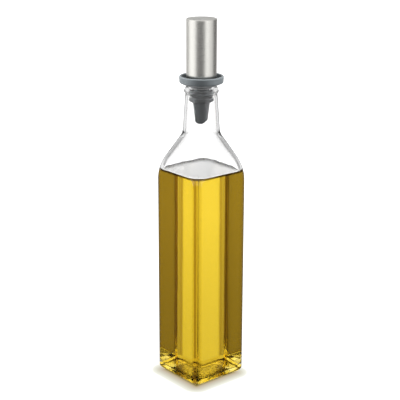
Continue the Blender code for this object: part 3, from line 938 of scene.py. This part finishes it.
class MakeStage(bpy.types.Operator):
    """Sets up the pale floor, the soft lights and the camera."""
    bl_idname = "dispenser.make_stage"
    bl_label = "Studio"

    def execute(self, context):
        stage = context.scene.stage_settings
        add_camera(stage)
        self.floor(stage, context.scene.bottle_sizes)
        self.air(stage)
        self.lights(stage)
        self.cards(stage)
        context.scene.view_settings.view_transform = "Standard"
        return {"FINISHED"}

    def floor(self, stage, sizes):
        """A wide pale plane just under the bottle's foot, which gives out its own light and carries a
        painted shadow.
        """
        material, tree, shader = new_material("pale_floor", stage.floor_colour, {
            "Base Color": BLACK, "Roughness": 0.9, "Specular IOR Level": 0.0,
            "Emission Strength": stage.floor_glow})
        path = add_node(tree, "LightPath").outputs
        gain = seen_gain(tree, path, (grey(stage.floor_plain), WHITE),
                         (grey(stage.floor_sheen), grey(stage.bare_floor), grey(stage.top_floor),
                          stage.deep_floor))
        # The floor's colour with the painted shadow round the foot.
        painted_shadow_colour = vector_node(tree, "MULTIPLY", self.contact(tree, stage, sizes), stage.floor_colour)
        bounce = spread(tree, path["Diffuse Depth"], 0.0, 1.0, 1.0, stage.floor_bounce)
        given_out = scaled(tree, vector_node(tree, "MULTIPLY", painted_shadow_colour, gain), bounce)
        feed(tree, shader, {"Emission Color": given_out})
        corners = [(x * FLOOR_HALF, y * FLOOR_HALF, -FLOOR_DROP)
                   for x, y in ((-1, -1), (1, -1), (1, 1), (-1, 1))]
        stage_plane("floor", corners, material)

    def contact(self, tree, stage, sizes):
        """The soft painted shadow round the foot, by the distance from the square that its corners round
        off.
        """
        throw = from_axis(stage.azimuth - SHADE_TURN, SHADE_THROW)
        place_on = add_node(tree, "TexCoord").outputs["Object"]
        apart = vector_node(tree, "ABSOLUTE", vector_node(tree, "SUBTRACT", place_on, throw))
        flat_half = 0.5 * sizes.side - sizes.corner
        beyond = vector_node(tree, "SUBTRACT", apart, (flat_half, flat_half, 1.0))
        outside = vector_node(tree, "MAXIMUM", beyond, (0.0, 0.0, 0.0))
        away = add_node(tree, "VectorMath", {0: outside}, operation="LENGTH").outputs["Value"]
        shades = [ramp(tree, spread(tree, away, 0.0, reach), stops)
                  for reach, stops in ((CONTACT_REACH, CONTACT_SHADE), (FAR_REACH, FAR_SHADE))]
        return vector_node(tree, "MULTIPLY", *shades)

    def air(self, stage):
        """A pale surround: white behind the picture, and a softer light on the pieces."""
        world = bpy.data.worlds.new("surround")
        bpy.context.scene.world = world
        world.use_nodes = True
        tree = world.node_tree
        path = add_node(tree, "LightPath").outputs
        gain = seen_gain(tree, path, (WHITE, grey(stage.glass_air)),
                         (WHITE, grey(stage.bare_air), grey(stage.top_mirror / stage.air_light),
                          stage.foot_air, stage.dimmed_air, stage.deep_air))
        light = spread(tree, path["Diffuse Depth"], 0.0, 1.0, stage.air_light,
                       stage.air_light * stage.air_bounce)
        seen = add_node(tree, "Mix", {"Factor": path["Is Camera Ray"], "A": light, "B": 1.0})
        feed(tree, tree.nodes["Background"], {"Color": gain, "Strength": seen.outputs["Result"]})

    def lights(self, stage):
        """A wide soft light overhead and one on each side."""
        for name, around, power in (("left", -91.0, stage.left_light),
                                    ("right", 87.0, stage.right_light)):
            spot = from_axis(stage.azimuth + math.radians(around), LAMP_AWAY, LAMP_HEIGHT)
            add_light(name, power, LAMP_SIZE, spot, LAMP_AIM)
        add_light("overhead", stage.key_light, OVERHEAD_SIZE, OVERHEAD_SPOT, (0.0, 0.0, 0.0))

    def cards(self, stage):
        """Cards that only mirrors see: bright ones round the cap, and a dark one between them."""
        for name, around, width, low, brightness in CARDS:
            turn = stage.azimuth + math.radians(around)
            middle = from_axis(turn, CARD_AWAY)
            side = from_axis(turn + 0.5 * math.pi, 0.5 * width)
            left, right = (middle - side).xy, (middle + side).xy
            corners = [(*left, low), (*right, low), (*right, CARD_TOP), (*left, CARD_TOP)]
            material, _, _ = new_material(name, grey(brightness), {
                "Base Color": BLACK, "Specular IOR Level": 0.0, "Emission Strength": 1.0,
                "Emission Color": grey(brightness)})
            card = stage_plane(name, corners, material)
            for ray in ("camera", "diffuse", "transmission", "shadow"):
                setattr(card, f"visible_{ray}", False)


class DispenserPanel(bpy.types.Panel):
    """Lists the pieces in the sidebar."""
    bl_idname = "VIEW3D_PT_dispenser"
    bl_label = "Oil dispenser"
    bl_space_type = "VIEW_3D"
    bl_region_type = "UI"
    bl_category = "Dispenser"

    def draw(self, context):
        for operator in OPERATORS:
            self.layout.operator(operator.bl_idname)


OPERATORS = (MakeBottle, MakeOil, MakeStopper, MakeCap, MakeStage)
SETTINGS = {"bottle_sizes": BottleSizes, "oil_sizes": OilSizes, "stopper_sizes": StopperSizes,
            "cap_sizes": CapSizes, "stage_settings": StageSettings}


def register():
    """Registers the settings, the operators and the panel."""
    for cls in (*SETTINGS.values(), *OPERATORS, DispenserPanel):
        bpy.utils.register_class(cls)
    for name, cls in SETTINGS.items():
        setattr(bpy.types.Scene, name, bpy.props.PointerProperty(type=cls))


def unregister():
    """Takes out what register put in."""
    for name in SETTINGS:
        delattr(bpy.types.Scene, name)
    for cls in (DispenserPanel, *reversed(OPERATORS), *reversed(SETTINGS.values())):
        bpy.utils.unregister_class(cls)


def main():
    """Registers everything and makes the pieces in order."""
    register()
    bpy.ops.dispenser.make_bottle()
    bpy.ops.dispenser.make_oil()
    bpy.ops.dispenser.make_stopper()
    bpy.ops.dispenser.make_cap()
    bpy.ops.dispenser.make_stage()


if __name__ == "__main__":
    main()
